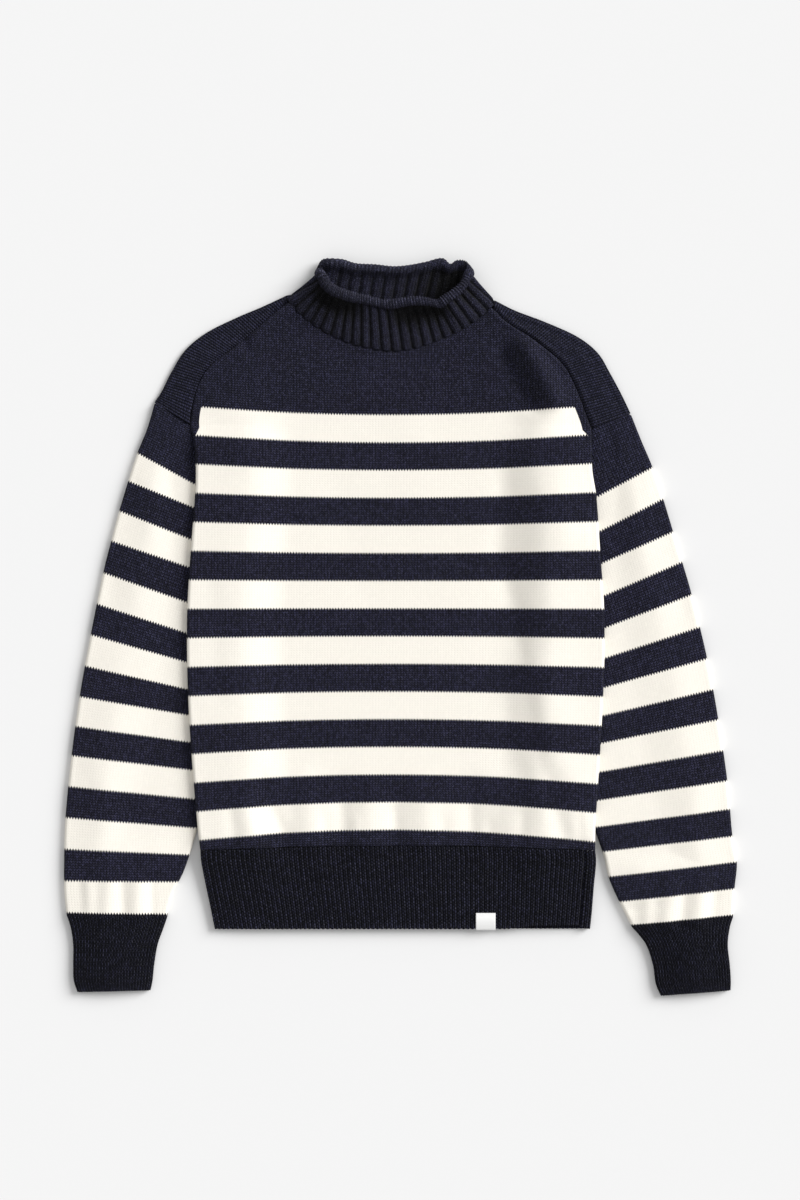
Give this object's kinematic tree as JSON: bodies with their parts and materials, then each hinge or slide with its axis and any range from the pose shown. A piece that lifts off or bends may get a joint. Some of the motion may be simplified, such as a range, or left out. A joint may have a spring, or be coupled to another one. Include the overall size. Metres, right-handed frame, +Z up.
{
  "type": "roll-neck sweater laid flat",
  "caption": "Striped roll-neck sweater with saddle shoulders and ribbed collar, laid flat on its back with the sleeves beside the body.",
  "frame": {"origin": "on the surface that the sweater lies on, under the middle of its outline", "axes": "+Z up from that surface, +Y towards the neck, +X towards the wearer's left"},
  "size_m": [0.694, 0.7608, 0.0294],
  "materials": {
    "striped_knit": "soft plain knit in navy and cream stripes, matt with a light nap",
    "navy_knit": "soft plain knit, matt with a light nap",
    "navy_rib": "two-by-two rib with a rolled plain edge, matt",
    "navy_hem": "close, firm rib, matt",
    "label": "plain woven tape, satin"
  },
  "bodies": {
    "root": {"front": "striped_knit", "back": "striped_knit", "sleeve_left": "striped_knit", "sleeve_right": "striped_knit", "saddle_left": "navy_knit", "saddle_right": "navy_knit", "collar": "navy_rib", "hem_front": "navy_hem", "hem_back": "navy_hem", "cuff_left": "navy_hem", "cuff_right": "navy_hem", "label": "label"}
  },
  "joints": []
}
